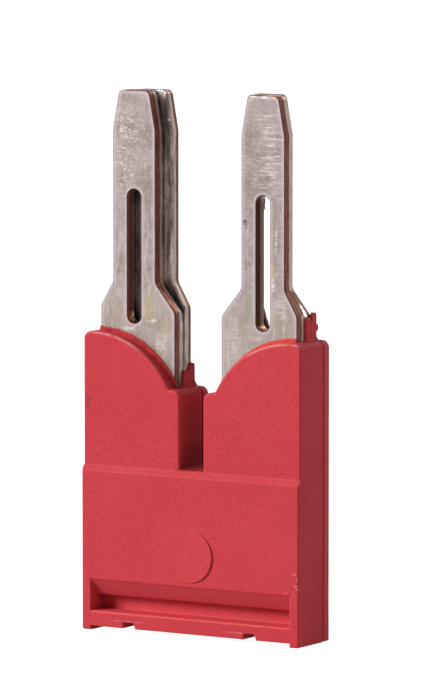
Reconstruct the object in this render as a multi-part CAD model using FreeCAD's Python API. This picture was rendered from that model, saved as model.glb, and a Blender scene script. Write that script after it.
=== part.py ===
"""Two-way plug-in jumper bar for rail-mounted terminal blocks.

The real part is a stamped comb of tinned copper alloy, folded once along its lower edge into two
leaves that lie face to face, with a red plastic housing moulded round its root. Two forked prongs
stand up out of the housing. In each prong the front leaf leans outwards and the back leaf
inwards, so that their edges bear on the walls of the contact shaft like a spring.

Frame: X across the bar, Y from the front face to the back, Z up along the prongs. The origin is
the middle of the footprint, on the plane that the two feet stand on. Millimetres.
"""

import math
import os

import FreeCAD
import Part

Vector = FreeCAD.Vector

# Comb: the pitch of the terminal blocks sets the distance between the prongs
pitch = 6.2
overall_height = 23.7
leaf_thickness = 0.64
leaf_gap = 0.03
root_width = 3.84
blade_width = 2.2
blade_stagger = 0.19
edge_break = 0.04

# Comb: the tapered tip, the spring slot and the two shoulders of each leaf
tip_width = 1.56
tip_length = 1.75
tip_radius = 0.26
taper_radius = 1.2
slot_width = 0.69
slot_bottom = 13.53
slot_top = 19.39
blade_foot = 15.33
steep_shoulder_drop = 1.07
wide_shoulder_drop = 1.24
shoulder_radius = 0.45

# Comb: the part inside the housing
fold_clearance = 0.15
bridge_cover = 0.6
bridge_radius = 0.4

# Housing: walls round the comb, from the side, in the gap, in front and behind
side_wall = 0.525
gap_wall = 0.57
front_wall = 0.583
back_wall = 0.58

# Housing: outline seen from the front
body_height = 13.14
platform_height = 10.78
gap_floor = 7.3
gap_floor_fall = 0.13
corner_radius = 0.35
body_edge = 0.06
foot_edge = 0.1

# Housing: the ramp between the slim upper half and the thicker grip
step_depth = 0.17
step_height = 7.03
ramp_height = 0.24

# Housing: lever groove, feet and bottom nicks
cheek_width = 0.43
groove_top = 2.28
slant_foot = 1.54
slant_depth = 0.54
groove_floor = 0.865
groove_depth = 1.04
groove_edge = 0.05
foot_height = 0.19
nick_width = 0.66
nick_slant = 0.12
nick_height = 0.26

# Housing: the line where the two mould halves met
seam_set = 0.04
seam_width = 0.12
seam_depth = 0.05
half_mismatch = 0.02

# Housing: round mark of the ejector pin, tilted out of the face
mark_radius = 1.16
mark_height = 0.08
mark_middle_height = 0.02
mark_x = 0.02
mark_z = 3.61
mark_turn = -15.0
mark_root = 0.3

# Housing: plastic that crept up round the prongs where they leave the mould
lip_rise = 0.17
lip_thickness = 0.06
back_skin_rise = 0.9
back_skin_thickness = 0.14

# Housing: the collars that the same plastic forms on the comb's cut edges, each with a low
# finger in front, a vee and a tall finger behind
collar_thickness = 0.1
collar_lap = 0.05
low_finger_radius = 0.08
tall_finger_radius = 0.14
vee_front_run = 0.08
inner_finger_rise = 1.03
inner_finger_step = 0.27
inner_foot_run = 0.12
inner_collar_root = 0.24
inner_vee_set = 0.22
inner_vee_depth = 0.2
inner_vee_back_run = 0.25
outer_finger_rise = 1.2
outer_finger_step = 0.19
outer_foot_run = 0.02
outer_collar_root = 0.16
outer_vee_set = 0.36
outer_vee_depth = 0.36
outer_vee_back_run = 0.05
collar_bump_rise = 0.54
collar_bump_radius = 0.16

# How far a cutting tool reaches past the face that it opens
overshoot = 1.0

# Places across the bar, worked out from the pitch and the walls
prong_x = pitch / 2
root_inner = prong_x - root_width / 2
root_outer = prong_x + root_width / 2
half_width = root_outer + side_wall
half_gap = root_inner - gap_wall

# Depths, worked out from the walls so that the bounding box is centred on Y
stack = 2 * leaf_thickness + leaf_gap
body_depth = step_depth + front_wall + stack + back_wall
grip_front = (mark_height - body_depth) / 2
body_front = grip_front + step_depth
leaf_front = body_front + front_wall
leaf_inside_front = leaf_front + leaf_thickness
leaf_inside_back = leaf_inside_front + leaf_gap
comb_back = leaf_front + stack
body_back = comb_back + back_wall
skin_back = comb_back + back_skin_thickness
seam_y = comb_back + seam_set

# Heights of the comb inside the housing
bridge_bottom = groove_top + fold_clearance + stack / 2
bridge_top = gap_floor - gap_floor_fall - bridge_cover

# The shoulder's arc starts level at the comb's outer edge and ends at its inner edge
shoulder_fall = body_height - platform_height
shoulder_radius_of_arc = (root_width ** 2 + shoulder_fall ** 2) / (2 * shoulder_fall)


def toward(start, end, distance):
    """The point at a distance from start on the way to end."""
    return start + (end - start).normalize() * distance


def outline(corners):
    """Closed wire through corners given as (point, radius), each rounded off with its radius."""
    arcs = []
    starts = []
    ends = []
    for i, (point, radius) in enumerate(corners):
        before = corners[i - 1][0]
        after = corners[(i + 1) % len(corners)][0]
        half_turn = (math.pi - (before - point).getAngle(after - point)) / 2
        reach = radius * math.tan(half_turn)
        first = point
        last = point
        if radius > 0:
            first = toward(point, before, reach)
            last = toward(point, after, reach)
            to_arc = radius / math.cos(half_turn) - radius
            crown = toward(point, (first + last) / 2, to_arc)
            arcs.append(Part.Arc(first, crown, last).toShape())
        starts.append(first)
        ends.append(last)
    edges = list(arcs)
    for i, here in enumerate(ends):
        there = starts[(i + 1) % len(corners)]
        if here.distanceToPoint(there) > 1e-6:
            edges.append(Part.LineSegment(here, there).toShape())
    return Part.Wire(Part.__sortEdges__(edges))


def front_prism(corners, y_from, y_to):
    """Extrude an outline of (x, z, corner radius) from one depth to another."""
    wire = outline([(Vector(x, y_from, z), radius) for x, z, radius in corners])
    return Part.Face(wire).extrude(Vector(0, y_to - y_from, 0))


def side_prism(corners, x_from, x_to):
    """Extrude an outline of (y, z, corner radius) across the bar."""
    wire = outline([(Vector(x_from, y, z), radius) for y, z, radius in corners])
    return Part.Face(wire).extrude(Vector(x_to - x_from, 0, 0))


def block(x_from, x_to, y_from, y_to, z_from, z_to):
    """A plain box between two corners."""
    corner = Vector(x_from, y_from, z_from)
    return Part.makeBox(x_to - x_from, y_to - y_from, z_to - z_from, corner)


def mirrored(corners):
    """The same corners on the other side of the middle plane, in walking order."""
    return [(-x, z, radius) for x, z, radius in reversed(corners)]


def both_sides(shape):
    """A right-hand feature and its mirror image on the left."""
    return [shape, shape.mirror(Vector(0, 0, 0), Vector(1, 0, 0))]


def soften(solid, y, radius, lowest=-math.inf):
    """Round off the edges of a prism in the plane at depth y that reach above a height."""
    rim = []
    for edge in solid.Edges:
        box = edge.BoundBox
        in_plane = abs(box.YMin - y) < 1e-6 and abs(box.YMax - y) < 1e-6
        if in_plane and box.ZMax > lowest + 1e-6:
            rim.append(edge)
    return solid.makeFillet(radius, rim)


def arc_edge(centre, radius, degrees_from, degrees_to, y):
    """Arc of a circle in the front view, with angles from +X towards +Z."""
    points = []
    for degrees in (degrees_from, (degrees_from + degrees_to) / 2, degrees_to):
        angle = math.radians(degrees)
        across = centre.x + radius * math.cos(angle)
        points.append(Vector(across, y, centre.z + radius * math.sin(angle)))
    return Part.Arc(*points).toShape()


def line_edge(x_from, z_from, x_to, z_to, y):
    """Straight edge in the front view."""
    return Part.LineSegment(Vector(x_from, y, z_from), Vector(x_to, y, z_to)).toShape()


# The comb

def prong_corners(stagger):
    """Right-hand prong of a leaf, from its inner root edge over the tip to its outer one."""
    middle = prong_x + stagger
    taper_foot = overall_height - tip_length
    inner_drop = wide_shoulder_drop if stagger > 0 else steep_shoulder_drop
    outer_drop = steep_shoulder_drop if stagger > 0 else wide_shoulder_drop
    return [
        (root_inner, bridge_top, bridge_radius),
        (root_inner, blade_foot - inner_drop, shoulder_radius),
        (middle - blade_width / 2, blade_foot, shoulder_radius),
        (middle - blade_width / 2, taper_foot, taper_radius),
        (middle - tip_width / 2, overall_height, tip_radius),
        (middle + tip_width / 2, overall_height, tip_radius),
        (middle + blade_width / 2, taper_foot, taper_radius),
        (middle + blade_width / 2, blade_foot, shoulder_radius),
        (root_outer, blade_foot - outer_drop, shoulder_radius),
        (root_outer, bridge_bottom, 0),
    ]


def slot(x, y_from, y_to):
    """Round-ended slot that lets the two legs of a blade spring together."""
    half = slot_width / 2
    low = slot_bottom + half
    high = slot_top - half
    edges = [
        arc_edge(Vector(x, 0, high), half, 180, 0, y_from),
        line_edge(x + half, high, x + half, low, y_from),
        arc_edge(Vector(x, 0, low), half, 0, -180, y_from),
        line_edge(x - half, low, x - half, high, y_from),
    ]
    return Part.Face(Part.Wire(edges)).extrude(Vector(0, y_to - y_from, 0))


def leaf(stagger, y_from, y_to, outer_y):
    """One leaf of the comb, with its outer face's edges softened as the punch leaves them."""
    right = prong_corners(stagger)
    sheet = front_prism(mirrored(right) + right, y_from, y_to)
    for side in (-1, 1):
        sheet = sheet.cut(slot(side * (prong_x + stagger), y_from, y_to))
    return soften(sheet, outer_y, edge_break, bridge_bottom)


def bend_cylinder(radius):
    """Full cylinder along the comb's lower edge, where the sheet is folded."""
    start = Vector(-root_outer, leaf_front + stack / 2, bridge_bottom)
    return Part.makeCylinder(radius, 2 * root_outer, start, Vector(1, 0, 0))


def fold():
    """The tight bend that joins the two leaves below the bridge."""
    above = block(-root_outer - overshoot, root_outer + overshoot, leaf_front - overshoot,
                  comb_back + overshoot, bridge_bottom, bridge_bottom + stack)
    return bend_cylinder(stack / 2).cut([bend_cylinder(leaf_gap / 2), above])


def contact_comb():
    """Both leaves and the fold, as the one sheet that they are."""
    front_leaf = leaf(blade_stagger, leaf_front, leaf_inside_front, leaf_front)
    back_leaf = leaf(-blade_stagger, leaf_inside_back, comb_back, comb_back)
    return front_leaf.fuse([back_leaf, fold()]).removeSplitter()


def comb_pocket():
    """The room that the comb's root takes up in the moulding."""
    right = [
        (root_inner, bridge_top, bridge_radius),
        (root_inner, overall_height, 0),
        (root_outer, overall_height, 0),
        (root_outer, bridge_bottom, 0),
    ]
    plate = front_prism(mirrored(right) + right, leaf_front, comb_back)
    return plate.fuse(bend_cylinder(stack / 2))


# The housing

def shoulder_centre():
    """Centre of the right shoulder's arc in the front view."""
    return Vector(root_outer, 0, body_height - shoulder_radius_of_arc)


def shoulder_foot_angle(radius):
    """Angle at which an arc about the shoulder's centre stands over the comb's inner edge."""
    return 180 - math.degrees(math.acos(root_width / radius))


def body_wire(inset, y):
    """The housing's outline seen from the front, drawn in all round by an inset."""
    side = half_width - inset
    wall = half_gap + inset
    top = body_height - inset
    platform = platform_height - inset
    floor = gap_floor - inset
    gap_hub = Vector(half_gap + corner_radius, 0, platform_height - corner_radius)
    side_hub = Vector(half_width - corner_radius, 0, body_height - corner_radius)
    foot_hub = Vector(half_width - foot_edge, 0, foot_edge)
    centre = shoulder_centre()
    radius = shoulder_radius_of_arc - inset
    foot_angle = 180 - math.degrees(math.asin((platform - centre.z) / radius))
    foot_x = centre.x + radius * math.cos(math.radians(foot_angle))
    right = [
        line_edge(0, floor, wall, floor, y),
        line_edge(wall, floor, wall, gap_hub.z, y),
        arc_edge(gap_hub, corner_radius - inset, 180, 90, y),
        line_edge(gap_hub.x, platform, foot_x, platform, y),
        arc_edge(centre, radius, foot_angle, 90, y),
        line_edge(centre.x, top, side_hub.x, top, y),
        arc_edge(side_hub, corner_radius - inset, 90, 0, y),
        line_edge(side, side_hub.z, side, foot_hub.z, y),
        arc_edge(foot_hub, foot_edge - inset, 0, -90, y),
        line_edge(foot_hub.x, inset, 0, inset, y),
    ]
    left = [edge.mirror(Vector(0, 0, 0), Vector(1, 0, 0)) for edge in right]
    return Part.Wire(Part.__sortEdges__(right + left))


def body_slab(inset, y_from, y_to):
    """The drawn-in outline as a slab between two depths."""
    face = Part.Face(body_wire(inset, y_from))
    return face.extrude(Vector(0, y_to - y_from, 0))


def body_bevel(inset, y_face, y_side):
    """The broken edge between an outer face of the housing and its sides."""
    small = body_wire(inset + body_edge, y_face)
    full = body_wire(inset, y_side)
    return Part.makeLoft([small, full], True, True)


def grip_plate():
    """The thicker lower half of the front, with the ramp that leads up to the slim half."""
    top = step_height + ramp_height
    right = [(half_width, top, 0), (half_width, 0, foot_edge)]
    plate = front_prism(mirrored(right) + right, grip_front, body_front + 2 * body_edge)
    plate = soften(plate, grip_front, body_edge)
    above_ramp = [
        (grip_front - overshoot, step_height, 0),
        (grip_front, step_height, 0),
        (body_front, top, 0),
        (body_front, top + overshoot, 0),
        (grip_front - overshoot, top + overshoot, 0),
    ]
    return plate.cut(side_prism(above_ramp, -half_width - overshoot, half_width + overshoot))


def lever_groove():
    """Undercut groove above the feet, where a screwdriver lifts the bar out."""
    mouth = grip_front - overshoot
    slope = (groove_top - slant_foot) / slant_depth
    profile = [
        (mouth, groove_top + slope * overshoot, 0),
        (grip_front + slant_depth, slant_foot, 0),
        (grip_front + groove_depth, slant_foot, 0),
        (grip_front + groove_depth, groove_floor, 0),
        (grip_front + groove_edge, groove_floor, 0),
        (mouth, groove_floor - groove_edge - overshoot, 0),
    ]
    reach = half_width - cheek_width
    return side_prism(profile, -reach, reach)


def space_between_feet():
    """The base is clear of the ground between the feet that end the two cheeks."""
    reach = half_width - cheek_width
    return block(-reach, reach, grip_front - overshoot, body_back + overshoot,
                 -overshoot, foot_height)


def bottom_nick(x):
    """Small nick in the lower edge below a prong, with one side slanted."""
    low = foot_height - overshoot
    left = x - nick_width / 2
    right = x + nick_width / 2
    profile = [
        (left, low, 0),
        (left, foot_height + nick_height, 0),
        (right - nick_slant, foot_height + nick_height, 0),
        (right, foot_height, 0),
        (right, low, 0),
    ]
    return front_prism(profile, grip_front - overshoot, body_back + overshoot)


def gap_floor_draft():
    """The gap's floor falls a little towards the back, as the core that shaped it was drawn."""
    profile = [
        (body_front, gap_floor, 0),
        (body_back, gap_floor - gap_floor_fall, 0),
        (body_back + overshoot, gap_floor - gap_floor_fall, 0),
        (body_back + overshoot, gap_floor + corner_radius, 0),
        (body_front, gap_floor + corner_radius, 0),
    ]
    return side_prism(profile, -half_gap, half_gap)


def ejector_mark():
    """Disc left by the ejector pin, level with the face on one side and proud on the other."""
    rise = (mark_height - mark_middle_height) / mark_radius
    turn = math.radians(mark_turn)
    outward = Vector(-rise * math.cos(turn), -1, -rise * math.sin(turn)).normalize()
    middle = Vector(mark_x, grip_front - mark_middle_height, mark_z)
    return Part.makeCylinder(mark_radius, mark_root, middle - outward * mark_root, outward)


def shoulder_panel(radius, lift, y_from, y_to):
    """Thin wall over the comb's root width with its top parallel to the shoulder's arc."""
    centre = shoulder_centre() + Vector(0, 0, lift)
    foot_angle = shoulder_foot_angle(radius)
    foot_z = centre.z + radius * math.sin(math.radians(foot_angle))
    low = platform_height - corner_radius
    y = y_from
    edges = [
        line_edge(root_inner, low, root_inner, foot_z, y),
        arc_edge(centre, radius, foot_angle, 90, y),
        line_edge(root_outer, centre.z + radius, root_outer, low, y),
        line_edge(root_outer, low, root_inner, low, y),
    ]
    return Part.Face(Part.Wire(edges)).extrude(Vector(0, y_to - y_from, 0))


def front_lip():
    """Thin lip of plastic that stands against the comb's front face along the shoulder."""
    return shoulder_panel(shoulder_radius_of_arc + lip_rise, 0,
                          leaf_front - lip_thickness, leaf_front)


def back_skin():
    """The same plastic behind the comb, where it stands higher."""
    return shoulder_panel(shoulder_radius_of_arc, back_skin_rise, comb_back, skin_back)


def collar(x, base, rise, step, foot_run, root, vee_set, vee_depth, vee_back_run):
    """Skin of plastic over the comb's cut edge, from its foot on the housing upwards."""
    low = base - corner_radius
    top = base + rise
    front = leaf_inside_front - collar_lap
    vee_y = leaf_inside_back + vee_set
    profile = [
        (front - foot_run, low, 0),
        (front - foot_run, base, 0),
        (front, top - step, low_finger_radius),
        (vee_y - vee_front_run, top - step, low_finger_radius),
        (vee_y, top - step - vee_depth, 0),
        (vee_y + vee_back_run, top, tall_finger_radius),
        (skin_back, top, tall_finger_radius),
        (skin_back, base + root, root),
        (skin_back + root, base, 0),
        (skin_back + root, low, 0),
    ]
    return side_prism(profile, x - collar_thickness, x + collar_thickness)


def inner_collar():
    """Collar on the edge that faces the gap."""
    return collar(root_inner, platform_height, inner_finger_rise, inner_finger_step,
                  inner_foot_run, inner_collar_root, inner_vee_set, inner_vee_depth,
                  inner_vee_back_run)


def outer_collar():
    """Collar on the outer edge, with a bump on its back."""
    skin = collar(root_outer, body_height, outer_finger_rise, outer_finger_step,
                  outer_foot_run, outer_collar_root, outer_vee_set, outer_vee_depth,
                  outer_vee_back_run)
    start = Vector(root_outer - collar_thickness, skin_back, body_height + collar_bump_rise)
    bump = Part.makeCylinder(collar_bump_radius, 2 * collar_thickness, start, Vector(1, 0, 0))
    return skin.fuse(bump)


def housing():
    """The whole moulding, with the comb's room taken out of it."""
    seam_from = seam_y - seam_width / 2
    seam_to = seam_y + seam_width / 2
    front_bevel_y = body_front + body_edge
    back_bevel_y = body_back - body_edge
    shell = body_slab(0, front_bevel_y, seam_from).fuse([
        body_bevel(0, body_front, front_bevel_y),
        body_slab(seam_depth, seam_from, seam_to),
        body_slab(half_mismatch, seam_to, back_bevel_y),
        body_bevel(half_mismatch, body_back, back_bevel_y),
        grip_plate(),
    ])
    hollows = [lever_groove(), space_between_feet(), gap_floor_draft()]
    hollows += [bottom_nick(side * prong_x) for side in (-1, 1)]
    shell = shell.cut(hollows)
    creep = []
    for feature in (front_lip(), back_skin(), inner_collar(), outer_collar()):
        creep += both_sides(feature)
    shell = shell.fuse(creep + [ejector_mark()])
    return shell.cut(comb_pocket()).removeSplitter()


def save(name, shape):
    """Write one piece and print what it is."""
    solids = shape.Solids
    piece = solids[0] if len(solids) == 1 else Part.makeCompound(solids)
    piece.exportStep(os.path.join("parts", name + ".step"))
    box = piece.BoundBox
    print(name, "solids", len(solids), "valid", piece.isValid(), "volume", round(piece.Volume, 3),
          "faces", len(piece.Faces))
    print("  x", round(box.XMin, 3), round(box.XMax, 3), "y", round(box.YMin, 3),
          round(box.YMax, 3), "z", round(box.ZMin, 3), round(box.ZMax, 3))


os.makedirs("parts", exist_ok=True)
save("contact_comb", contact_comb())
save("housing", housing())
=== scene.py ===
# %% [markdown]
# # A plug-in jumper bar for terminal blocks
# The real object is two small things in one. A strip of tinned copper alloy is stamped into a
# comb, folded in half and put into a mould, and red plastic is shot round its root. Both solids
# come measured from the CAD model, so this lesson is about the rest: how each surface was made,
# what that left behind on it, and how to show that with nodes and a few tiny meshes.

import math

import bmesh
import bpy
from mathutils import Matrix, Vector, noise


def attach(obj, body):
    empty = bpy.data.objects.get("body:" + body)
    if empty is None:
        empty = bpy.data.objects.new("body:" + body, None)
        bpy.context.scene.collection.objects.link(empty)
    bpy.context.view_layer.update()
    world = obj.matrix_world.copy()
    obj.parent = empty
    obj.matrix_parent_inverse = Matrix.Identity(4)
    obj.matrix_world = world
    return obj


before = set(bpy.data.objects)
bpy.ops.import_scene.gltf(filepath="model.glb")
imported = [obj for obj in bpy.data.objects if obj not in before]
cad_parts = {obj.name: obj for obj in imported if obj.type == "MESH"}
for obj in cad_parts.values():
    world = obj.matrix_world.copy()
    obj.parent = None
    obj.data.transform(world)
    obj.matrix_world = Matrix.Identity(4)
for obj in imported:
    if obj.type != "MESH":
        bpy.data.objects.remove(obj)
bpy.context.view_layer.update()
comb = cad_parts["contact_comb"]
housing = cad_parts["housing"]
print("Loaded", comb.name, "and", housing.name)

# %% [markdown]
# Blender works in metres, and this bar is about as tall as a thumb is wide. Sizes below are
# written in millimetres, as in the CAD model, and turned into metres at the last moment. X runs
# across the bar, Y from front to back and Z up along the prongs.

# %% Sizes that the surfaces need from the model
MM = 0.001
GRIP_FRONT = -1.2815
BODY_FRONT = -1.1115
LEAF_FRONT = -0.5285
LEAF_THICKNESS = 0.64
LEAF_GAP = 0.03
FRONT_LEAF_BACK = LEAF_FRONT + LEAF_THICKNESS
BACK_LEAF_FRONT = FRONT_LEAF_BACK + LEAF_GAP
BACK_LEAF_BACK = BACK_LEAF_FRONT + LEAF_THICKNESS
print("The comb is", round(BACK_LEAF_BACK - LEAF_FRONT, 3), "mm thick")

# %% [markdown]
# ## The camera
# The photo was taken from the front right, a little from above, with a long lens: upright edges
# stay upright and the far side is hardly smaller than the near one. The camera could be turned
# by hand until it looks right. Here its place and lens come from a fit to the bar's own corners,
# so a picture from it lies over the photo.

# %% Place the camera
SENSOR_WIDTH = 36.0
IMAGE_HEIGHT = 700
FOCAL_PIXELS = 6643.0
eye = Vector((152.418, -242.826, 42.918)) * MM
target = Vector((1.068, -0.612, 12.612)) * MM
camera_data = bpy.data.cameras.new("camera")
camera_data.sensor_width = SENSOR_WIDTH
camera_data.lens = SENSOR_WIDTH * FOCAL_PIXELS / IMAGE_HEIGHT
camera_data.clip_start = 0.01
camera_data.clip_end = 10.0
camera = bpy.data.objects.new("camera", camera_data)
bpy.context.scene.collection.objects.link(camera)
camera.location = eye
camera.rotation_euler = (target - eye).to_track_quat("-Z", "Y").to_euler()
bpy.context.scene.camera = camera
bpy.context.scene.view_settings.view_transform = "Standard"
print("Lens", round(camera_data.lens, 1), "mm at", round((target - eye).length, 4), "m")

# %% [markdown]
# ## Short words for shader nodes
# A material is a graph, and a graph written out node by node is hard to read. These helpers give
# each node one line: what kind it is, what goes into it, and which result comes out.

# %% One line for each node
def srgb(red, green, blue):
    """A colour as picked in a paint program, 0 to 255, made linear for the shader."""
    linear = []
    for value in (red, green, blue):
        share = value / 255
        linear.append(share / 12.92 if share <= 0.04045 else ((share + 0.055) / 1.055) ** 2.4)
    return (*linear, 1.0)


def plug(tree, socket, value):
    """Link another node's output to a socket, or set the socket's own value."""
    if isinstance(value, bpy.types.NodeSocket):
        tree.links.new(value, socket)
    else:
        socket.default_value = value


def add_node(tree, kind, inputs, output=0, **options):
    """Add a shader node with its inputs by name or number, and give back one output."""
    node = tree.nodes.new("ShaderNode" + kind)
    for option, value in options.items():
        setattr(node, option, value)
    for socket, value in inputs.items():
        plug(tree, node.inputs[socket], value)
    return node.outputs[output]


def start_material(name):
    """A new material with its tree and its one Principled shader."""
    material = bpy.data.materials.new(name)
    material.use_nodes = True
    tree = material.node_tree
    return material, tree, tree.nodes["Principled BSDF"]


print("Middle grey is", round(srgb(128, 128, 128)[0], 3), "in linear light")

# %% [markdown]
# Most of a finish is said with shares from 0 to 1: how near an edge, how high, how dirty. Two
# shares multiplied mean that both must hold, a fade turns a measure into a share, and a colour
# is laid over another one as strongly as its shares allow.

# %% Arithmetic, fades and mixes
def calculate(tree, operation, first, second=0.0, third=0.0):
    """One step of arithmetic on values."""
    return add_node(tree, "Math", {0: first, 1: second, 2: third}, operation=operation)


def both(tree, *shares):
    """The product of several shares: 1 only where all of them are 1."""
    product = shares[0]
    for share in shares[1:]:
        product = calculate(tree, "MULTIPLY", product, share)
    return product


def away(tree, value, middle=0.0):
    """How far a value lies from a middle one, to either side."""
    return calculate(tree, "ABSOLUTE", calculate(tree, "SUBTRACT", value, middle))


def fade(tree, value, start, end):
    """0 before start, 1 after end, and a soft step between; start may be above end."""
    inputs = {"Value": value, "From Min": start, "From Max": end}
    return add_node(tree, "MapRange", inputs, interpolation_type="SMOOTHSTEP")


def measure(tree, operation, first, second=(0, 0, 0)):
    """One number from a vector or two, such as a length or a dot product."""
    return add_node(tree, "VectorMath", {0: first, 1: second}, output="Value",
                    operation=operation)


def mix_values(tree, share, first, second):
    """Mix two values by a share from 0 to 1."""
    return add_node(tree, "Mix", {0: share, 2: first, 3: second})


def blend_colours(tree, share, first, second):
    """Mix two colours by a share from 0 to 1."""
    return add_node(tree, "Mix", {0: share, 6: first, 7: second}, output=2, data_type="RGBA")


def lay_on(tree, colour, coat, *shares):
    """Lay a coat over a colour, as strongly as all its shares together allow."""
    return blend_colours(tree, both(tree, *shares), colour, coat)


print("Ready to mix: shares run from 0 to 1")

# %% [markdown]
# Every finish here is tied to a place on the bar, so a material has to know where it is. Object
# coordinates give that place: the meshes stand unturned at the origin, so these are the model's
# own coordinates, and they stay the same from every side and in every other scene.

# %% Where a point lies and which way it faces
def split(tree, vector):
    """The X, Y and Z parts of a vector."""
    parts = tree.nodes.new("ShaderNodeSeparateXYZ")
    plug(tree, parts.inputs[0], vector)
    return parts.outputs


def place_in_mm(tree):
    """The point on the piece in millimetres, as a vector and as its three parts."""
    metres = add_node(tree, "TexCoord", {}, output="Object")
    place = add_node(tree, "Mapping", {"Vector": metres, "Scale": (1 / MM,) * 3})
    return place, split(tree, place)


def facing(tree):
    """The three parts of the direction that the surface faces."""
    return split(tree, add_node(tree, "TexCoord", {}, output="Normal"))


print("One unit in a material is", MM, "m")

# %% [markdown]
# Nothing on a real part is even. Noise gives grain, clouds and scratches, drawn out along an
# axis where a tool moved that way. Single marks, such as a stain, are soft ellipsoids, listed one
# by one and broken up by a noise, because a mark with a smooth outline looks painted on.

# %% Grain, patches and marks
PATCH_CORE = 0.35


def grain(tree, place, per_mm, detail=3.0, stretch=(1, 1, 1), roughness=0.55):
    """Noise with so many grains to the millimetre, finer along axes with a larger stretch."""
    scaled = add_node(tree, "Mapping", {"Vector": place, "Scale": stretch})
    inputs = {"Vector": scaled, "Scale": per_mm, "Detail": detail, "Roughness": roughness}
    return add_node(tree, "TexNoise", inputs)


def patch(tree, place, centre, radii):
    """1 in the core of an ellipsoid on the piece, fading to 0 at its outside."""
    inputs = {"Vector": place, "Location": [-c / r for c, r in zip(centre, radii)],
              "Scale": [1 / r for r in radii]}
    reach = measure(tree, "LENGTH", add_node(tree, "Mapping", inputs))
    return fade(tree, reach, 1.0, PATCH_CORE)


def lay_marks(tree, place, colour, marks, front, depth, broken):
    """Lay marks on the face at one Y, each with centre and reach in X and Z, paint, strength."""
    for (x, z), (wide, high), paint, strength in marks:
        spot = patch(tree, place, (x, front, z), (wide, depth, high))
        colour = lay_on(tree, colour, paint, spot, broken, strength)
    return colour


print("Marks are full over", PATCH_CORE, "of their reach and fade out beyond it")

# %% [markdown]
# Edges wear and catch the light, and corners lie in shade, and both can be found without any
# extra mesh. A Bevel node gives the direction that the surface would have if its edges were
# rounded: where that leaves the true one, there is an edge. An Ambient Occlusion node tells how
# much of the sky a point sees: where it is little, shade falls, and darker colour there is painted
# shade. Real bevels would need a finer mesh, and the measured mesh may not be changed.

# %% Edges, corners and relief
def rounded_normal(tree, radius, samples=8):
    """The direction that the surface would face if its edges had a radius in mm."""
    return add_node(tree, "Bevel", {"Radius": radius * MM}, samples=samples)


def edge_nearness(tree, radius):
    """How well the rounded direction agrees with the true one: 1 away from edges, less near."""
    true = add_node(tree, "NewGeometry", {}, output="Normal")
    return measure(tree, "DOT_PRODUCT", rounded_normal(tree, radius), true)


def turned_up(tree, radius):
    """1 where the rounded direction is half upward, so that the edge catches the window's light."""
    height = split(tree, rounded_normal(tree, radius))["Z"]
    return both(tree, fade(tree, height, 0.12, 0.4), fade(tree, height, 0.96, 0.8))


def sheltered(tree, distance, open_share, closed_share):
    """How closed in a point is by what stands within a distance in mm, from 0 to 1."""
    open_air = add_node(tree, "AmbientOcclusion", {"Distance": distance * MM}, output="AO",
                        samples=16, only_local=True)
    return fade(tree, open_air, open_share, closed_share)


def relief(tree, height, strength, depth, radius):
    """A direction for the shader: rounded edges with a fine relief on top, sizes in mm."""
    inputs = {"Height": height, "Strength": strength, "Distance": depth * MM,
              "Normal": rounded_normal(tree, radius, samples=6)}
    return add_node(tree, "Bump", inputs)


print("Nodes can now find edges, corners and relief")

# %% [markdown]
# ## Moulded plastic
# The housing is polyamide in a signal red, and its plain faces aren't plain. The mould's eroded
# steel leaves a fine grain with pores, and the melt cools in slow clouds. Edges are paler where
# they have rubbed on other bars and from a painted highlight on their rounding, and painted pink
# where they also catch the light, a painted highlight. A picture of real plastic could be wrapped
# round instead, but it would smear in the corners of a part this small.

# %% The skin of the moulding, its rubbed edges and painted edge highlights
FACE_RED = srgb(205, 61, 70)
CLOUD_RED = srgb(201, 57, 66)
GRAIN_RED = srgb(222, 86, 92)
PORE_RED = srgb(178, 46, 55)
# Paler edges: rubbing, and a painted highlight on their rounding
EDGE_RED = srgb(228, 78, 74)
# Painted highlight: pink where an edge turns up to the window's light
EDGE_HIGHLIGHT_PINK = srgb(232, 110, 108)
EDGE_RADIUS = 0.11


def mould_skin(tree, clouds, speckle, pores):
    """Red with slow clouds, pale specks and darker pores."""
    colour = blend_colours(tree, fade(tree, clouds, 0.35, 0.7), FACE_RED, CLOUD_RED)
    colour = lay_on(tree, colour, GRAIN_RED, fade(tree, speckle, 0.45, 0.75), 0.4)
    return lay_on(tree, colour, PORE_RED, fade(tree, pores, 0.45, 0.7), 0.4)


def rubbed_and_highlit_edges(tree, colour, clouds, pores, allowed):
    """Paler red along rubbed edges with a painted highlight, and painted pink highlight where an
    edge turns up and the share allows.
    """
    edges = fade(tree, edge_nearness(tree, EDGE_RADIUS), 0.995, 0.9)
    colour = lay_on(tree, colour, EDGE_RED, edges, fade(tree, clouds, 0.2, 0.6), 0.75)
    lit = turned_up(tree, EDGE_RADIUS)
    return lay_on(tree, colour, EDGE_HIGHLIGHT_PINK, edges, lit, fade(tree, pores, 0.3, 0.55), allowed)


print("Edges are rubbed over about", EDGE_RADIUS, "mm")

# %% [markdown]
# Each column ends in a rounded shoulder, and along its arc a lip of plastic, far thinner than a
# fingernail, stands against the comb. Light shines through the right lip, so it is painted orange
# as painted light; the left one is torn, and painted dull as painted shade. The lip is part of
# the measured mesh. It gets its own colour by a question that nodes can answer: does this point
# lie outside the arc, and close to the leaf? The shoulders' front edges get a painted highlight.

# %% The shoulders' lips
ROOT_OUTER = 5.02
PLATFORM = 10.78
SHOULDER_TOP = 13.14
ARC_RADIUS = 4.304
ARC_CENTRE_Z = SHOULDER_TOP - ARC_RADIUS
LIP_RISE = 0.17
# Lip colours: painted light, orange through the right lip, and painted shade, dull on the left
LIP_ORANGE = srgb(220, 74, 58)
LIP_RED = srgb(204, 58, 62)
LIP_DULL = srgb(198, 54, 50)
LIP_SHADE = srgb(150, 28, 34)
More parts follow.
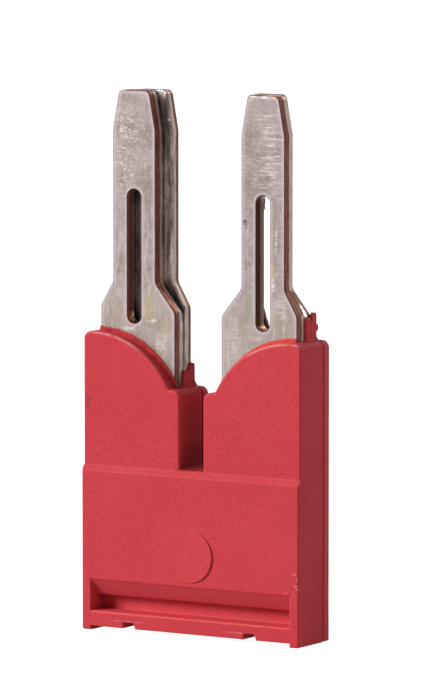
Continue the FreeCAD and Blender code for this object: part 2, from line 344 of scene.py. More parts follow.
# Pink for scuffs on the grip, and for the painted highlight on the shoulders' front edges
SCUFF_AND_HIGHLIGHT_PINK = srgb(232, 140, 140)


def beside_centre(tree, at):
    """How far outside its shoulder's centre a point lies, and less than 0 further in."""
    return calculate(tree, "SUBTRACT", away(tree, at["X"]), ROOT_OUTER)


def arc_reach(tree, at):
    """How far a point lies from the centre of its shoulder's arc."""
    above = calculate(tree, "SUBTRACT", at["Z"], ARC_CENTRE_Z)
    arm = add_node(tree, "CombineXYZ", {"X": beside_centre(tree, at), "Z": above})
    return measure(tree, "LENGTH", arm)


def on_lip(tree, at):
    """1 on the lip that stands against the comb along both shoulders."""
    outside = fade(tree, arc_reach(tree, at), ARC_RADIUS - 0.01, ARC_RADIUS + 0.02)
    against_leaf = calculate(tree, "COMPARE", at["Y"], LEAF_FRONT - 0.03, 0.045)
    raised = fade(tree, at["Z"], PLATFORM + 0.01, PLATFORM + 0.05)
    over_root = fade(tree, beside_centre(tree, at), 0.03, 0.01)
    return both(tree, outside, against_leaf, raised, over_root)


def lip_colour(tree, at, ragged):
    """Painted light makes the right lip orange, as if lit through; painted shade makes the left one
    dull; it is torn and redder on top.
    """
    crest = ARC_RADIUS + LIP_RISE
    torn = blend_colours(tree, fade(tree, ragged, 0.44, 0.6), LIP_DULL, LIP_SHADE)
    torn = lay_on(tree, torn, LIP_RED, fade(tree, arc_reach(tree, at), crest - 0.07, crest - 0.02))
    whole = blend_colours(tree, fade(tree, ragged, 0.52, 0.68), LIP_ORANGE, LIP_DULL)
    # Painted shade on the left lip, painted light on the right one
    return blend_colours(tree, fade(tree, at["X"], -0.1, 0.1), torn, whole)


def arc_edge_highlight(tree, at):
    """1 along the front edge of both shoulders, for a painted pink highlight on their rounding."""
    near = fade(tree, away(tree, arc_reach(tree, at), ARC_RADIUS - 0.02), 0.13, 0.03)
    front = fade(tree, at["Y"], BODY_FRONT + 0.12, BODY_FRONT + 0.06)
    high = fade(tree, at["Z"], SHOULDER_TOP - 0.9, SHOULDER_TOP - 0.4)
    return both(tree, near, front, high)


def shoulders(tree, at, colour, ragged):
    """Lay the front edge's painted highlight and the lip's colour, with its painted light and shade,
    on the housing's red.
    """
    patchy = fade(tree, ragged, 0.3, 0.55)
    # Painted highlight along the shoulders' front edges, broken up by noise
    colour = lay_on(tree, colour, SCUFF_AND_HIGHLIGHT_PINK, arc_edge_highlight(tree, at), patchy, 0.7)
    return lay_on(tree, colour, lip_colour(tree, at, ragged), on_lip(tree, at))


print("Lips rise", LIP_RISE, "mm over arcs of radius", ARC_RADIUS, "mm")

# %% [markdown]
# A mould leaves two kinds of line. Where its halves met, a narrow seam runs round the housing,
# drawn as a dark line of painted shade. Where the ejector pin pushed the warm part out, a round
# mark stays on the grip, with a rim that gets a painted highlight, strongest at its lower right.
# Both are in the model as steps so shallow that soft light hardly shows them, so their shade and
# highlight are painted again in colour.

# %% The seam and the ejector pin's mark, in painted shade and highlight
SEAM_Y = 0.8215
# Painted shade along the seam
SEAM_SHADE_RED = srgb(176, 38, 46)
MARK_X = 0.02
MARK_Z = 3.61
MARK_RADIUS = 1.16
RIM_HALF_WIDTH = 0.045


def on_seam(tree, at, direction):
    """1 in the narrow line where the mould halves met, all round the housing."""
    middle = fade(tree, away(tree, at["Y"], SEAM_Y), 0.085, 0.05)
    across = fade(tree, away(tree, direction["Y"]), 0.7, 0.5)
    below = fade(tree, at["Z"], SHOULDER_TOP + 0.05, SHOULDER_TOP)
    return both(tree, middle, across, below)


def from_mark(tree, place):
    """The arm from the middle of the ejector pin's mark, seen from the front."""
    inputs = {"Vector": place, "Location": (-MARK_X, 0, -MARK_Z), "Scale": (1, 0, 1)}
    return add_node(tree, "Mapping", inputs)


def mark_rim_highlight(tree, at, arm):
    """1 on the fine line round the ejector pin's mark, for a painted highlight, clearest at its
    lower right.
    """
    off_line = away(tree, measure(tree, "LENGTH", arm), MARK_RADIUS - RIM_HALF_WIDTH)
    line = fade(tree, off_line, RIM_HALF_WIDTH, 0.02)
    lean = measure(tree, "DOT_PRODUCT", arm, (0.86, 0, -0.5))
    front = fade(tree, at["Y"], GRIP_FRONT + 0.12, GRIP_FRONT + 0.08)
    return both(tree, line, fade(tree, lean, -0.1, 0.7), front)


print("The mark is", 2 * MARK_RADIUS, "mm wide, and the seam lies at Y", SEAM_Y)

# %% [markdown]
# Two hollows change the red. The gap between the columns is so deep that its walls are nearly
# black red at the bottom, and painted shade darkens them more. The lever groove is shallow and
# wide, so light bounces about in it: it is painted paler, with a painted highlight as a bright
# thin line on its lower edge. Shadows alone come out too even here, so each hollow is found by
# its box and painted darker or paler. Corners get painted shade too, and the housing behind the
# seam is painted paler.

# %% The gap and the lever groove
HALF_GAP = 0.61
GAP_FLOOR = 7.3
GROOVE_TOP = 2.28
GROOVE_FLOOR = 0.865
GROOVE_END = 5.115
# Painted shade, in corners and deep in the gap
PAINTED_SHADE_RED = srgb(95, 12, 22)
# Painted light, in the groove and behind the seam
PAINTED_LIGHT_RED = srgb(224, 84, 92)
# Painted highlight on the groove's lower edge
GROOVE_HIGHLIGHT_RED = srgb(233, 88, 85)


def in_gap(tree, at):
    """1 on the two walls that face each other between the columns."""
    between = fade(tree, away(tree, at["X"]), HALF_GAP + 0.25, HALF_GAP + 0.01)
    return both(tree, between, fade(tree, at["Z"], GAP_FLOOR, GAP_FLOOR + 0.15))


def in_groove(tree, at):
    """1 inside the lever groove, between its cheeks."""
    behind_grip = fade(tree, at["Y"], GRIP_FRONT + 0.03, GRIP_FRONT + 0.1)
    front_half = fade(tree, at["Y"], 0.1, 0.0)
    below_top = fade(tree, at["Z"], GROOVE_TOP + 0.1, GROOVE_TOP)
    above_feet = fade(tree, at["Z"], 0.5, 0.6)
    between = fade(tree, away(tree, at["X"]), GROOVE_END + 0.05, GROOVE_END - 0.05)
    return both(tree, behind_grip, front_half, below_top, above_feet, between)


def on_groove_edge(tree, at):
    """1 on the small chamfer along the groove's lower edge."""
    level = calculate(tree, "COMPARE", at["Z"], GROOVE_FLOOR - 0.03, 0.05)
    front = fade(tree, at["Y"], GRIP_FRONT + 0.09, GRIP_FRONT + 0.05)
    between = fade(tree, away(tree, at["X"]), GROOVE_END, GROOVE_END - 0.05)
    return both(tree, level, front, between)


def hollows(tree, at, colour, gap, ragged, allowed):
    """Painted shade in corners and deep in the gap, painted light behind the seam and in the groove,
    and a painted highlight on the groove's lower edge.
    """
    # Painted shade in corners and deep in the gap
    colour = lay_on(tree, colour, PAINTED_SHADE_RED, sheltered(tree, 0.3, 0.7, 0.2), allowed, 0.65)
    colour = lay_on(tree, colour, PAINTED_SHADE_RED, sheltered(tree, 1.5, 0.85, 0.45), gap, 0.68)
    # Painted light behind the seam and in the groove
    colour = lay_on(tree, colour, PAINTED_LIGHT_RED, fade(tree, at["Y"], SEAM_Y, SEAM_Y + 0.1), 0.5)
    colour = lay_on(tree, colour, PAINTED_LIGHT_RED, in_groove(tree, at), 0.4)
    # Painted highlight on the groove's lower edge
    patchy = fade(tree, ragged, 0.25, 0.5)
    return lay_on(tree, colour, GROOVE_HIGHLIGHT_RED, on_groove_edge(tree, at), patchy, 0.8)


print("The groove is", round(GROOVE_TOP - GROOVE_FLOOR, 3), "mm high, the gap", 2 * HALF_GAP)

# %% [markdown]
# Handling leaves scuffs at the grip's right edge and above the feet, and a few smudges. Nothing
# in how the bar was made says where they lie, so they are listed one by one. Then the whole
# plastic is put together, from the skin up. It is satin: a low specular level and a high
# roughness, with the relief of the grain on softened edges.

# %% The whole plastic
SMUDGE = srgb(112, 66, 62)
GRIP_MARKS = (
    ((5.36, 3.2), (0.13, 0.04), SCUFF_AND_HIGHLIGHT_PINK, 0.8),
    ((5.48, 2.98), (0.05, 0.16), SCUFF_AND_HIGHLIGHT_PINK, 0.4),
    ((5.4, 2.68), (0.16, 0.05), SCUFF_AND_HIGHLIGHT_PINK, 0.8),
    ((5.52, 2.56), (0.12, 0.05), SCUFF_AND_HIGHLIGHT_PINK, 0.8),
    ((4.88, 2.36), (0.14, 0.04), SCUFF_AND_HIGHLIGHT_PINK, 0.7),
    ((5.3, 2.3), (0.12, 0.05), SCUFF_AND_HIGHLIGHT_PINK, 0.4),
    ((1.62, 2.52), (0.05, 0.09), SCUFF_AND_HIGHLIGHT_PINK, 0.4),
    ((-3.2, 0.5), (1.4, 0.05), SCUFF_AND_HIGHLIGHT_PINK, 0.5),
    ((2.35, 0.45), (0.9, 0.05), SCUFF_AND_HIGHLIGHT_PINK, 0.6),
    ((4.12, 6.83), (0.1, 0.05), SMUDGE, 0.9),
)
BODY_MARKS = (
    ((-5.32, 10.03), (0.12, 0.42), SMUDGE, 0.9),
    ((1.58, 7.65), (0.4, 0.03), SMUDGE, 0.8),
)
SCUFF_DEPTH = 0.2


def moulded_plastic():
    """Satin red polyamide with grain, clouds, rubbed edges, lips and marks, painted highlights, and
    painted shade in corners.
    """
    material, tree, shader = start_material("moulded_red_polyamide")
    place, at = place_in_mm(tree)
    clouds = grain(tree, place, 0.32, detail=4.0)
    speckle = grain(tree, place, 13.0, roughness=0.7)
    pores = grain(tree, place, 5.5, roughness=0.6)
    ragged = grain(tree, place, 3.4, detail=4.0, roughness=0.7)
    arm = from_mark(tree, place)
    off_mark = fade(tree, measure(tree, "LENGTH", arm), MARK_RADIUS + 0.02, MARK_RADIUS + 0.3)
    gap = in_gap(tree, at)
    colour = mould_skin(tree, clouds, speckle, pores)
    colour = rubbed_and_highlit_edges(tree, colour, clouds, pores, off_mark)
    # Painted highlight on the rim of the ejector pin's mark
    colour = lay_on(tree, colour, EDGE_RED, mark_rim_highlight(tree, at, arm), 0.75)
    colour = shoulders(tree, at, colour, ragged)
    broken = fade(tree, speckle, 0.38, 0.56)
    colour = lay_marks(tree, place, colour, GRIP_MARKS, GRIP_FRONT, SCUFF_DEPTH, broken)
    colour = lay_marks(tree, place, colour, BODY_MARKS, BODY_FRONT, SCUFF_DEPTH, broken)
    colour = hollows(tree, at, colour, gap, ragged, off_mark)
    # Painted shade along the seam
    colour = lay_on(tree, colour, SEAM_SHADE_RED, on_seam(tree, at, facing(tree)))
    plug(tree, shader.inputs["Base Color"], colour)
    rough = mix_values(tree, gap, calculate(tree, "MULTIPLY_ADD", clouds, 0.14, 0.52), 0.74)
    plug(tree, shader.inputs["Roughness"], rough)
    shader.inputs["Specular IOR Level"].default_value = 0.14
    shader.inputs["IOR"].default_value = 1.53
    plug(tree, shader.inputs["Normal"], relief(tree, speckle, 0.5, depth=0.01, radius=0.1))
    return material


housing.data.materials.clear()
housing.data.materials.append(moulded_plastic())
plastic = housing.data.materials[0]
print("Dressed", housing.name, "with", plastic.name, "in", len(plastic.node_tree.nodes), "nodes")

# %% [markdown]
# ## Tinned copper
# The comb is punched from strip that was tinned beforehand. Its wide faces are therefore dull,
# warm grey tin: mottled all over, dabbed with cream where they have slid in and out of terminals,
# drawn into faint lines lower down, and rolled over towards every edge, where a hair of brown
# copper shows. The left prong has flecks and the right one brushed lines, so the pattern changes
# over between them.

# %% The wide faces
TIN = srgb(138, 127, 125)
TIN_DULL = srgb(117, 104, 100)
TIN_CREAM = srgb(188, 178, 174)
TIN_WARM = srgb(150, 137, 129)
TIN_ROLLED = srgb(164, 155, 161)
RIM_BROWN = srgb(84, 44, 36)
# Heights in mm over which a finish fades in
DABBED_ABOVE = (18.7, 19.7)
DABBED_BELOW = (23.4, 22.6)
DRAWN_BELOW = (19.8, 18.2)
WARM_BELOW = (15.8, 14.2)


def on_right(tree, at):
    """1 on the right prong, 0 on the left one."""
    return fade(tree, at["X"], -0.1, 0.1)


def cream_dabs(tree, place, at):
    """The pattern of the dabs: flecks on the left prong, brushed lines on the right one."""
    flecks = grain(tree, place, 7.0, stretch=(0.7, 1, 1.4), roughness=0.65)
    lines = grain(tree, place, 3.4, detail=2.5, stretch=(0.45, 1, 3.2))
    return mix_values(tree, on_right(tree, at), flecks, lines)


def tinned_faces(tree, place, at, mottle, dabs, streaks):
    """Warm dull tin: mottled, dabbed with cream near the tips, and drawn into lines lower down."""
    fine = grain(tree, place, 8.0, roughness=0.7)
    colour = blend_colours(tree, fade(tree, mottle, 0.38, 0.66), TIN, TIN_DULL)
    colour = lay_on(tree, colour, TIN_CREAM, fade(tree, fine, 0.45, 0.75), 0.3)
    upper = both(tree, fade(tree, at["Z"], *DABBED_ABOVE), fade(tree, at["Z"], *DABBED_BELOW))
    outer = calculate(tree, "MULTIPLY_ADD", fade(tree, away(tree, at["X"]), 2.8, 3.5), 0.75, 0.25)
    colour = lay_on(tree, colour, TIN_CREAM, fade(tree, dabs, 0.5, 0.72), upper, outer, 0.7)
    colour = lay_on(tree, colour, TIN_WARM, fade(tree, at["Z"], *WARM_BELOW), 0.4)
    lower = fade(tree, at["Z"], *DRAWN_BELOW)
    return lay_on(tree, colour, TIN_CREAM, fade(tree, streaks, 0.48, 0.72), lower, 0.25)


def rolled_edges(tree, colour):
    """Smooth paler tin towards the edges, and brown copper on the last hair's breadth."""
    rolled = fade(tree, edge_nearness(tree, 0.36), 0.999, 0.965)
    colour = lay_on(tree, colour, TIN_ROLLED, rolled, 0.7)
    rim = fade(tree, edge_nearness(tree, 0.06), 0.9995, 0.985)
    return lay_on(tree, colour, RIM_BROWN, rim, 0.85)


print("Cream dabs lie between", DABBED_ABOVE[0], "and", DABBED_BELOW[0], "mm")

# %% [markdown]
# Folding laid two faces of the strip together, with less room than paper needs between them. The
# leaves are staggered sideways, so a strip of the rear leaf's inner face shows beside the left
# prong's front leaf. It is striped by the rolls, pitted and banded, and darkened with painted
# shade near the tip and on the slope. So close to the front leaf a render comes out dark by
# itself, so the tin starts out bright and is darkened with painted shade only where the photo is
# dark.

# %% The faces in the slit
INNER_TIN = srgb(182, 166, 160)
INNER_STREAK = srgb(196, 182, 175)
INNER_PIT = srgb(84, 72, 68)
INNER_DARK = srgb(42, 33, 32)
# Painted shade: centre and reach in mm, and strength
INNER_SHADES = (
    ((-2.1, BACK_LEAF_FRONT, 22.2), (0.9, 0.3, 1.9), 0.6),
    ((-1.75, BACK_LEAF_FRONT, 14.9), (0.6, 0.3, 1.0), 0.75),
    ((-1.3, BACK_LEAF_FRONT, 14.3), (0.5, 0.3, 0.9), 0.75),
    ((-1.2, BACK_LEAF_FRONT + 0.04, 13.2), (0.2, 0.13, 2.2), 0.85),
)


def inner_faces(tree, place, streaks):
    """Striped and pitted tin with dark bands, with painted shade in places and nearly black painted
    shade where it is deep.
    """
    colour = blend_colours(tree, fade(tree, streaks, 0.42, 0.72), INNER_TIN, INNER_STREAK)
    pits = grain(tree, place, 4.5, detail=4.0, stretch=(1.4, 1, 0.35), roughness=0.7)
    colour = lay_on(tree, colour, INNER_PIT, fade(tree, pits, 0.4, 0.7), 0.75)
    specks = grain(tree, place, 11.0, roughness=0.7)
    colour = lay_on(tree, colour, INNER_PIT, fade(tree, specks, 0.45, 0.7), 0.42)
    bands = grain(tree, place, 2.6, detail=1.0, stretch=(1.6, 0, 0.12))
    colour = lay_on(tree, colour, INNER_DARK, fade(tree, bands, 0.48, 0.6), 0.6)
    # Painted shade in places, and nearly black painted shade where the slit is deep
    for centre, radii, strength in INNER_SHADES:
        colour = lay_on(tree, colour, INNER_DARK, patch(tree, place, centre, radii), strength)
    return lay_on(tree, colour, INNER_DARK, sheltered(tree, 0.9, 0.62, 0.1), 0.95)


print("The slit is", LEAF_GAP, "mm wide and given_painted_shade in", len(INNER_SHADES), "places")

# %% [markdown]
# The cut edges are bare metal. The punch first shears a smooth brown band, then the sheet breaks
# and a lighter skin of tin is dragged over the rest, burnished and darkened next to the fold by
# the slit's painted shade. The bands follow Y, the thickness of the sheet, so their borders are
# fades along Y that a noise sets wandering. The right prong's slope is brown all over. Painted
# light makes the left slot a little brighter and lays a highlight on the left prong's slopes,
# and the tops are darkened as painted shade.

# %% The cut edges
PITCH = 6.2
SHEARED_COPPER = srgb(116, 73, 61)
# Dark copper: scores, and painted shade on the tops
DARK_COPPER = srgb(70, 41, 34)
# Painted light: brighter copper in the left slot
SLOT_LIT_COPPER = srgb(128, 84, 72)
# Painted highlights and glints on copper
HIGHLIGHT_COPPER = srgb(226, 146, 96)
DRAGGED_TIN = srgb(168, 150, 143)
FRONT_SHEAR = 0.36
BACK_SHEAR = 0.23
BORDER = 0.03
FOLD_SIDE = 0.18
BURNISHED = 0.2


def sheared_band(tree, at, scores, sloping):
    """Scored brown copper, painted lighter in the left slot, with a painted highlight on the left
    prong's slopes.
    """
    colour = blend_colours(tree, fade(tree, scores, 0.35, 0.65), SHEARED_COPPER, DARK_COPPER)
    near_slot = fade(tree, away(tree, at["X"], -PITCH / 2), 0.65, 0.6)
    below_tip = fade(tree, at["Z"], 19.6, 19.5)
    # Painted light: the left slot is painted brighter
    colour = lay_on(tree, colour, SLOT_LIT_COPPER, near_slot, below_tip)
    bare = fade(tree, scores, 0.55, 0.4)
    left_of_right_prong = fade(tree, at["X"], 3.0, 2.0)
    # Painted highlight on the left prong's slopes
    return lay_on(tree, colour, HIGHLIGHT_COPPER, sloping, bare, left_of_right_prong, 0.3)


def dragged_band(tree, at, place_y, scores, inner, right_slope):
    """A skin of tin with brown showing through, next to the fold as dark as the slit, its painted
    shade included.
    """
    patchy = both(tree, fade(tree, scores, 0.47, 0.67), 0.6)
    colour = blend_colours(tree, patchy, DRAGGED_TIN, SHEARED_COPPER)
    next_to_fold = fade(tree, away(tree, place_y, FOLD_SIDE), BURNISHED + BORDER, BURNISHED - BORDER)
    # Next to the fold the slit's colour, painted shade included
    colour = lay_on(tree, colour, inner, next_to_fold, fade(tree, at["X"], 0.1, -0.1))
    return lay_on(tree, colour, SHEARED_COPPER, right_slope)


def cut_edges(tree, place, at, direction, inner):
    """Brown shear next to the outer faces, dragged tin between, and painted shade on the tops."""
    ragged = grain(tree, place, 4.0, stretch=(1, 0, 1))
    scores = grain(tree, place, 3.0, detail=4.0, stretch=(1, 5, 0.5), roughness=0.65)
    place_y = calculate(tree, "ADD", at["Y"], calculate(tree, "MULTIPLY_ADD", ragged, 0.12, -0.06))
    up = direction["Z"]
    sloping = both(tree, fade(tree, up, 0.25, 0.5), fade(tree, up, 0.98, 0.8))
    right_slope = both(tree, sloping, fade(tree, at["X"], 4.3, 4.4))
    front_y = calculate(tree, "MULTIPLY_ADD", right_slope, -0.3, place_y)
    front_end = LEAF_FRONT + FRONT_SHEAR
    front = fade(tree, front_y, front_end + BORDER, front_end - BORDER)
    back_y = calculate(tree, "MULTIPLY_ADD", right_slope, 0.1, place_y)
    back_start = BACK_LEAF_BACK - BACK_SHEAR
    back = fade(tree, back_y, back_start - BORDER, back_start + BORDER)
    dragged = dragged_band(tree, at, place_y, scores, inner, right_slope)
    sheared = sheared_band(tree, at, scores, sloping)
    colour = blend_colours(tree, calculate(tree, "ADD", front, back), dragged, sheared)
    # Painted shade on faces that look up
    return lay_on(tree, colour, DARK_COPPER, fade(tree, up, 0.9, 0.98), 0.7)


print("Sheared bands are", FRONT_SHEAR, "mm in front and", BACK_SHEAR, "mm behind")

# %% [markdown]
# Storage and use leave yellow and green stains and dabs on the front faces, and dents, whose
# darkness is painted shade. Painted glints stand for the light that picks out the tips, the ends
# of the slots and the right slope. A glint is both brighter and smoother than the metal round it,
# so it changes the roughness too.

# %% Stains, dents in painted shade, and painted glints
MIRROR_TIN = srgb(240, 242, 244)
GLINT_COPPER = srgb(244, 206, 178)
YELLOW_STAIN = srgb(150, 136, 84)
GREEN_STAIN = srgb(108, 126, 98)
# On the front faces: centre and reach in X and Z in mm, colour and strength
TIN_MARKS = (
    ((-2.52, 14.3), (0.26, 1.0), YELLOW_STAIN, 0.85),
    ((-4.13, 14.1), (0.2, 0.4), YELLOW_STAIN, 0.5),
    ((-1.72, 13.4), (0.25, 0.5), YELLOW_STAIN, 0.45),
    ((3.85, 16.15), (0.12, 0.5), YELLOW_STAIN, 0.9),
    ((3.82, 14.1), (0.1, 0.3), YELLOW_STAIN, 0.8),
    ((2.57, 14.8), (0.2, 1.3), GREEN_STAIN, 0.6),
    # Dents: painted shade
    ((2.39, 18.22), (0.15, 0.17), INNER_DARK, 0.8),
    ((3.65, 22.24), (0.12, 0.08), INNER_DARK, 0.5),
    ((-2.83, 20.33), (0.05, 0.03), INNER_DARK, 0.7),
    ((-4.02, 19.72), (0.07, 0.05), INNER_DARK, 0.7),
    ((-3.83, 21.9), (0.28, 0.3), TIN_CREAM, 0.7),
    ((3.78, 15.5), (0.1, 0.5), TIN_CREAM, 0.9),
    ((3.96, 17.4), (0.06, 0.9), TIN_CREAM, 0.7),
    ((4.3, 14.2), (0.25, 0.12), TIN_CREAM, 0.8),
    ((-2.3, 13.7), (0.22, 0.1), TIN_CREAM, 0.9),
    ((-3.6, 13.3), (0.5, 0.12), TIN_CREAM, 0.7),
    ((3.0, 13.2), (0.35, 0.1), TIN_CREAM, 0.8),
    ((1.75, 12.9), (0.6, 1.3), TIN_CREAM, 0.28),
    ((4.15, 14.7), (0.5, 0.8), TIN_CREAM, 0.3),
    ((-1.9, 12.6), (0.5, 0.9), TIN_CREAM, 0.4),
    # Painted glints along the right prong's tip
    ((2.8, 23.67), (0.22, 0.1), GLINT_COPPER, 0.8),
    ((3.42, 23.64), (0.22, 0.1), MIRROR_TIN, 0.9),
    ((3.78, 23.61), (0.22, 0.1), HIGHLIGHT_COPPER, 0.7),
)
STAIN_DEPTH = 0.3
# Painted glints behind the front faces: centre and reach in mm, colour and strength
GLINTS = (
    ((-2.3, 0.14, 23.7), (0.34, 0.1, 0.5), MIRROR_TIN, 0.95),
    ((3.6, -0.3, 23.72), (0.6, 0.4, 0.1), HIGHLIGHT_COPPER, 0.9),
    ((-1.9, 0.14, 22.42), (0.2, 0.1, 0.05), MIRROR_TIN, 0.5),
    ((-3.52, -0.2, 13.85), (0.15, 0.33, 0.4), GLINT_COPPER, 0.9),
    ((3.1, 0.1, 13.7), (0.4, 0.7, 0.25), HIGHLIGHT_COPPER, 0.4),
    ((4.68, 0.34, 14.52), (0.44, 0.22, 0.8), MIRROR_TIN, 1.0),
)
GLINT_ROUGHNESS = 0.25


def glints(tree, place, at, colour, rough, streaks):
    """Painted glints: bright smooth spots behind the front faces, in a colour and a roughness."""
    behind = fade(tree, at["Y"], LEAF_FRONT + 0.02, LEAF_FRONT + 0.05)
    broken = fade(tree, streaks, 0.34, 0.5)
    for centre, radii, paint, strength in GLINTS:
        share = both(tree, patch(tree, place, centre, radii), broken, strength, behind)
        colour = blend_colours(tree, share, colour, paint)
        rough = mix_values(tree, share, rough, GLINT_ROUGHNESS)
    return colour, rough


print(len(TIN_MARKS), "marks on the front faces and", len(GLINTS), "glints behind them")

# %% [markdown]
# One material dresses the whole comb, because it is one sheet. Which finish a point gets can be
# read from the surface itself: wide faces look along Y and cut edges across it, and faces near
# the slit's own Y are the inner ones. Painting each face by hand would be lost with every change
# of the model; this holds.

# %% The whole comb
SLIT_Y = (FRONT_LEAF_BACK + BACK_LEAF_FRONT) / 2
CUT_ROUGHNESS = 0.52


def tinned_sheet():
    """Dull tin on the faces, brown shear and dragged tin on the cut edges."""
    material, tree, shader = start_material("stamped_tinned_copper")
    place, at = place_in_mm(tree)
    direction = facing(tree)
    outward = away(tree, direction["Y"])
    flat = fade(tree, outward, 0.97, 0.998)
    mottle = grain(tree, place, 1.1, detail=5.0, roughness=0.62)
    streaks = grain(tree, place, 3.0, stretch=(2.4, 1, 0.4), roughness=0.5)
    dabs = cream_dabs(tree, place, at)
    tin = rolled_edges(tree, tinned_faces(tree, place, at, mottle, dabs, streaks))
    broken = fade(tree, dabs, 0.38, 0.56)
    tin = lay_marks(tree, place, tin, TIN_MARKS, LEAF_FRONT, STAIN_DEPTH, broken)
    inner = inner_faces(tree, place, streaks)
    tin = lay_on(tree, tin, inner, calculate(tree, "COMPARE", at["Y"], SLIT_Y, 0.05))
    cut = cut_edges(tree, place, at, direction, inner)
    colour = lay_on(tree, cut, RIM_BROWN, fade(tree, outward, 0.1, 0.25))
    colour = lay_on(tree, colour, tin, flat)
    face_rough = calculate(tree, "MULTIPLY_ADD", mottle, 0.2, 0.3)
    rough = mix_values(tree, flat, CUT_ROUGHNESS, face_rough)
    colour, rough = glints(tree, place, at, colour, rough, streaks)
    plug(tree, shader.inputs["Base Color"], colour)
    shader.inputs["Metallic"].default_value = 1.0
    plug(tree, shader.inputs["Roughness"], rough)
    height = calculate(tree, "ADD", dabs, streaks)
    plug(tree, shader.inputs["Normal"], relief(tree, height, 0.2, depth=0.008, radius=0.04))
    return material


comb.data.materials.clear()
comb.data.materials.append(tinned_sheet())
metal = comb.data.materials[0]
print("Dressed", comb.name, "with", metal.name, "in", len(metal.node_tree.nodes), "nodes")

# %% [markdown]
# ## Torn film and slivers
# Some leavings of the mould and the punch stand out from the surface, and colour can't change an
# outline, so they need small meshes of their own. Each is drawn as a bmesh in millimetres, made
# smaller by a thousand, and given the material of the piece that it grew from.

# %% From a drawn shape to a finished piece
def add_object(name, shape):
    """Turn a bmesh into an object that stands unturned at the origin."""
    mesh = bpy.data.meshes.new(name)
    shape.to_mesh(mesh)
    shape.free()
    made = bpy.data.objects.new(name, mesh)
    bpy.context.scene.collection.objects.link(made)
    return made


def finished_piece(name, shape, like):
    """Turn a shape in mm into a piece with another piece's material, riding on the bar."""
    bmesh.ops.recalc_face_normals(shape, faces=shape.faces)
    bmesh.ops.scale(shape, vec=(MM, MM, MM), verts=shape.verts)
    piece = add_object(name, shape)
    piece.data.materials.append(like.data.materials[0])
    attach(piece, "root")
    return piece


print("Pieces take the materials", plastic.name, "and", metal.name)

# %% [markdown]
# Where the two mould halves closed on the comb, a film of plastic no thicker than paper was
# squeezed out and tore when the bar was thrown off. It stands on top of both lips as a ragged
# crest. Teeth drawn one by one would take a long list. Instead a short edge is spun round the
# arc's centre into a narrow band, noise pulls its outer row in and out, and the band is then
# given its thickness.

# %% Ragged crest along an arc
FLASH_THICKNESS = 0.03
FLASH_STEPS = 90
FLASH_ROOT = 0.05
FLASH_START = PLATFORM + 0.12
LEAF_CLEARANCE = 0.003
COARSE_TEETH = 7.0
FINE_TEETH = 19.0
LEFT_TOOTH = 0.1
RIGHT_TOOTH = 0.045


def shoulder_flash(name, side, longest):
    """One crest with teeth up to a length; side is -1 for the left shoulder, 1 for the right."""
    outer = ARC_RADIUS + LIP_RISE
    start = math.acos((FLASH_START - ARC_CENTRE_Z) / outer)
    hub = Vector((side * ROOT_OUTER, LEAF_FRONT, ARC_CENTRE_Z))
    shape = bmesh.new()
    root = shape.verts.new(hub + Vector((0, 0, outer - FLASH_ROOT)))
    tip = shape.verts.new(hub + Vector((0, 0, outer)))
    shape.edges.new((root, tip))
    bmesh.ops.spin(shape, geom=shape.verts[:] + shape.edges[:], cent=hub, axis=(0, 1, 0),
                   angle=-side * start, steps=FLASH_STEPS, use_merge=False)
    for vert in shape.verts:
        arm = vert.co - hub
        if arm.length > outer - FLASH_ROOT / 2:
            coarse = noise.noise(vert.co * COARSE_TEETH)
            fine = noise.noise(vert.co * FINE_TEETH)
            tooth = (coarse + fine) / 2
            vert.co += arm.normalized() * max(0.0, tooth + 0.15) * longest
    bmesh.ops.solidify(shape, geom=shape.faces[:], thickness=FLASH_THICKNESS)
    nearest = max(vert.co.y for vert in shape.verts)
    bmesh.ops.translate(shape, vec=(0, LEAF_FRONT - LEAF_CLEARANCE - nearest, 0),
                        verts=shape.verts)
    return finished_piece(name, shape, housing)


for name, side, longest in (("flash_left", -1, LEFT_TOOTH), ("flash_right", 1, RIGHT_TOOTH)):
    flash = shoulder_flash(name, side, longest)
    top = max(vert.co.z for vert in flash.data.vertices)
    print(flash.name, len(flash.data.polygons), "faces, top at", round(top / MM, 2), "mm")

# %% [markdown]
# The punch left slivers of copper in the slots. In the rear leaf's right-hand slot a long one
# closes the lower corner and a short one hangs at the top; in the front leaf's left-hand slot one
# lies at the bottom, leant back so that it glints. They could be sculpted, but at this size an
# outline says enough: each is drawn as a few points in the plane of the sheet, filled, pushed
# through part of the sheet's thickness, softened and leant.

# %% Slivers of copper
SLOT_LEFT = 2.565
SLOT_WALL = SLOT_LEFT - 0.02
LOW_BURR = ((SLOT_WALL, 14.5), (SLOT_LEFT + 0.03, 14.36), (2.66, 14.2), (2.7, 14.02),
            (2.78, 13.86), (2.84, 13.66), (2.95, 13.56), (2.75, 13.5), (SLOT_WALL, 13.75))
HIGH_BURR = ((SLOT_WALL, 19.1), (2.62, 19.2), (2.64, 19.0), (2.61, 18.86),
             (2.63, 18.72), (SLOT_WALL, 18.6))
LEFT_BURR = ((-3.65, 14.12), (-3.58, 14.06), (-3.53, 13.9), (-3.48, 13.74), (-3.41, 13.6),
             (-3.5, 13.56), (-3.58, 13.64), (-3.65, 13.8))
BURR_SOFTENING = 0.02
# Name, outline, Y of its front, depth in mm and lean in degrees
BURRS = (
    ("burr_low", LOW_BURR, BACK_LEAF_BACK - 0.22, 0.2, 0),
    ("burr_high", HIGH_BURR, BACK_LEAF_BACK - 0.22, 0.2, 0),
    ("burr_left", LEFT_BURR, LEAF_FRONT + 0.2, 0.1, 18),
)


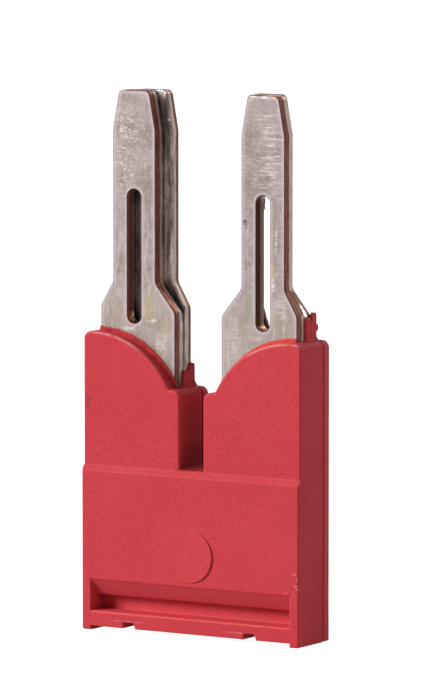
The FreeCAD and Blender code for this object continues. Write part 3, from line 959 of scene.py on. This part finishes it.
def sliver(name, outline, front, depth, lean):
    """A burr from its outline in the plane of the sheet, leant back by some degrees."""
    shape = bmesh.new()
    face = shape.faces.new([shape.verts.new((x, front, z)) for x, z in outline])
    grown = bmesh.ops.extrude_face_region(shape, geom=[face])
    moved = [item for item in grown["geom"] if isinstance(item, bmesh.types.BMVert)]
    bmesh.ops.translate(shape, vec=(0, depth, 0), verts=moved)
    bmesh.ops.bevel(shape, geom=shape.edges[:], offset=BURR_SOFTENING, offset_type="OFFSET",
                    segments=2, profile=0.5, affect="EDGES", material=-1, clamp_overlap=True)
    foot = min((vert.co for vert in shape.verts), key=lambda corner: corner.z).copy()
    turn = Matrix.Rotation(math.radians(-lean), 3, "X")
    bmesh.ops.rotate(shape, cent=foot, matrix=turn, verts=shape.verts)
    return finished_piece(name, shape, comb)


for name, outline, front, depth, lean in BURRS:
    burr = sliver(name, outline, front, depth, lean)
    print(burr.name, len(burr.data.polygons), "faces")

# %% [markdown]
# ## Floor and light
# The bar stands on its two feet on a plain pale floor. A floor bright enough to be white in the
# picture would light the bar from below, so its glow is shown only to the camera and to mirror-
# like surfaces. It still takes the soft shadow that says the bar touches it.

# %% Floor
FLOOR_REACH = 3.0
FLOOR_GREY = (0.6, 0.6, 0.6, 1.0)
FLOOR_GLOW = 0.93
WHITE = (1.0, 1.0, 1.0, 1.0)


def seen_directly(tree):
    """1 for rays from the camera, off a glossy surface or through a clear one, else 0."""
    rays = tree.nodes.new("ShaderNodeLightPath").outputs
    seen = calculate(tree, "MAXIMUM", rays["Is Camera Ray"], rays["Is Glossy Ray"])
    return calculate(tree, "MAXIMUM", seen, rays["Is Transmission Ray"])


def floor_paint():
    """Pale and matt, with a glow that adds no light to the bar's dull faces."""
    material, tree, shader = start_material("pale_floor")
    shader.inputs["Base Color"].default_value = FLOOR_GREY
    shader.inputs["Roughness"].default_value = 0.9
    shader.inputs["Specular IOR Level"].default_value = 0.0
    shader.inputs["Emission Color"].default_value = WHITE
    glow = calculate(tree, "MULTIPLY", seen_directly(tree), FLOOR_GLOW)
    plug(tree, shader.inputs["Emission Strength"], glow)
    return material


plate = bmesh.new()
bmesh.ops.create_grid(plate, x_segments=1, y_segments=1, size=FLOOR_REACH)
floor = add_object("floor", plate)
floor.data.materials.append(floor_paint())
print("Floor", 2 * FLOOR_REACH, "m wide")

# %% [markdown]
# The photo's light is a big soft window to the left of the camera and above it: the front is
# bright, the right side is half as bright, and the gap's wall is nearly dark. One large area lamp
# does that. A small one high up behind draws the thin lights on the edges, one on the right
# keeps that side from going black, and the world fills in. A sky picture could do all of it at
# once, but lamps can be moved one at a time until each face is right.

# %% Lamps and world
BAR_MIDDLE = Vector((0.0, 0.0, 0.012))
FILL = 0.06


def soft_lamp(name, place, size, power):
    """A square area lamp at a place in metres, pointed at the bar, with its power in watts."""
    data = bpy.data.lights.new(name, "AREA")
    data.shape = "SQUARE"
    data.size = size
    data.energy = power
    lamp = bpy.data.objects.new(name, data)
    lamp.location = place
    lamp.rotation_euler = (BAR_MIDDLE - Vector(place)).to_track_quat("-Z", "Y").to_euler()
    bpy.context.scene.collection.objects.link(lamp)


soft_lamp("window_light", (-0.30, -0.32, 0.24), size=0.22, power=2.82)
soft_lamp("edge_light", (0.085, 0.34, 0.21), size=0.08, power=0.25)
soft_lamp("side_light", (0.42, -0.02, 0.10), size=0.20, power=0.35)

world = bpy.data.worlds.new("studio")
bpy.context.scene.world = world
world.use_nodes = True
sky = world.node_tree
background = sky.nodes["Background"]
background.inputs["Color"].default_value = WHITE
brightness = calculate(sky, "MULTIPLY_ADD", seen_directly(sky), 1 - FILL, FILL)
plug(sky, background.inputs["Strength"], brightness)
print("Three lamps and a fill of", FILL)
